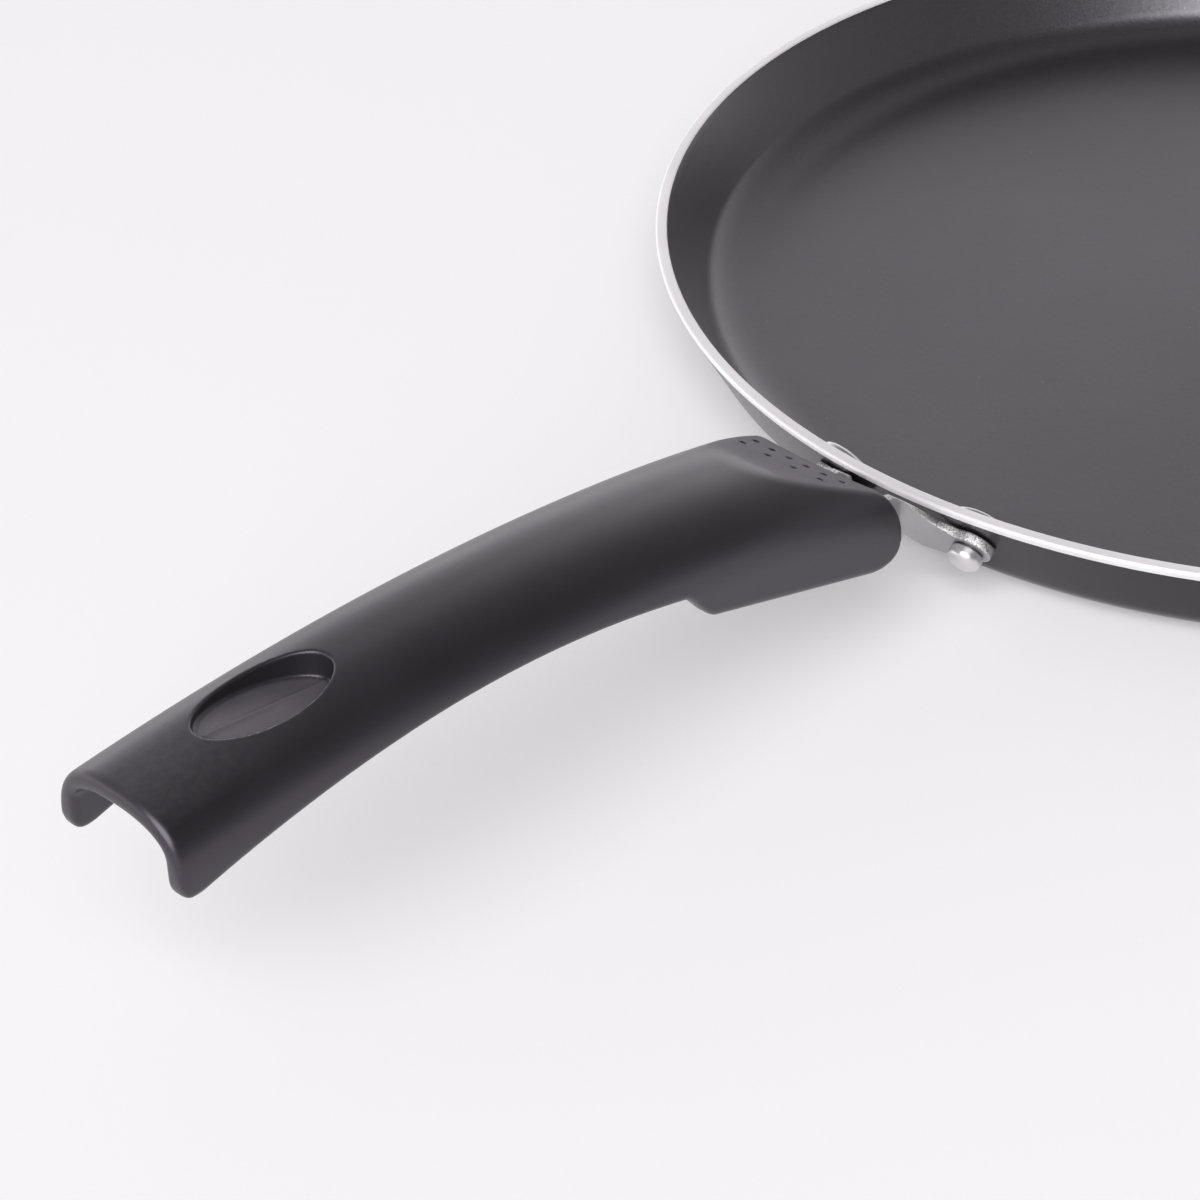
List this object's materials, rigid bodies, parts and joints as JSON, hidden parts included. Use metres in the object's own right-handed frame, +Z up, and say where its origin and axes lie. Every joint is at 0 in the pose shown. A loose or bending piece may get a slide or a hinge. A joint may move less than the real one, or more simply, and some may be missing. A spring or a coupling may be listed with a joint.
{
  "type": "dosa tawa",
  "caption": "Shallow round griddle pan with a flared wall and a bare rim, carried by a long arched moulded handle on a riveted bracket, for dosas and other flat breads.",
  "frame": {"origin": "centre of the pan's flat underside, on the pan's axis", "axes": "+X from the pan's axis along the handle to its end, +Z up out of the pan, +Y to the right of someone who holds the handle and faces the pan"},
  "size_m": [0.4664, 0.2796, 0.0585],
  "materials": {
    "nonstick_coat": "matt grey non-stick coat with a fine speckle; the lip is machined bare aluminium",
    "bare_aluminium": "satin pressed aluminium with rough sheared edges",
    "black_moulding": "charcoal thermoset moulding with a soft sheen",
    "plated_steel": "zinc plated",
    "brass": "turned"
  },
  "bodies": {
    "root": {"pan_body": "nonstick_coat", "handle_bracket": "bare_aluminium", "rivet_left": "bare_aluminium", "rivet_right": "bare_aluminium", "handle": "black_moulding", "threaded_bush": "brass", "spring_washer": "plated_steel", "handle_screw": "plated_steel"}
  },
  "joints": []
}
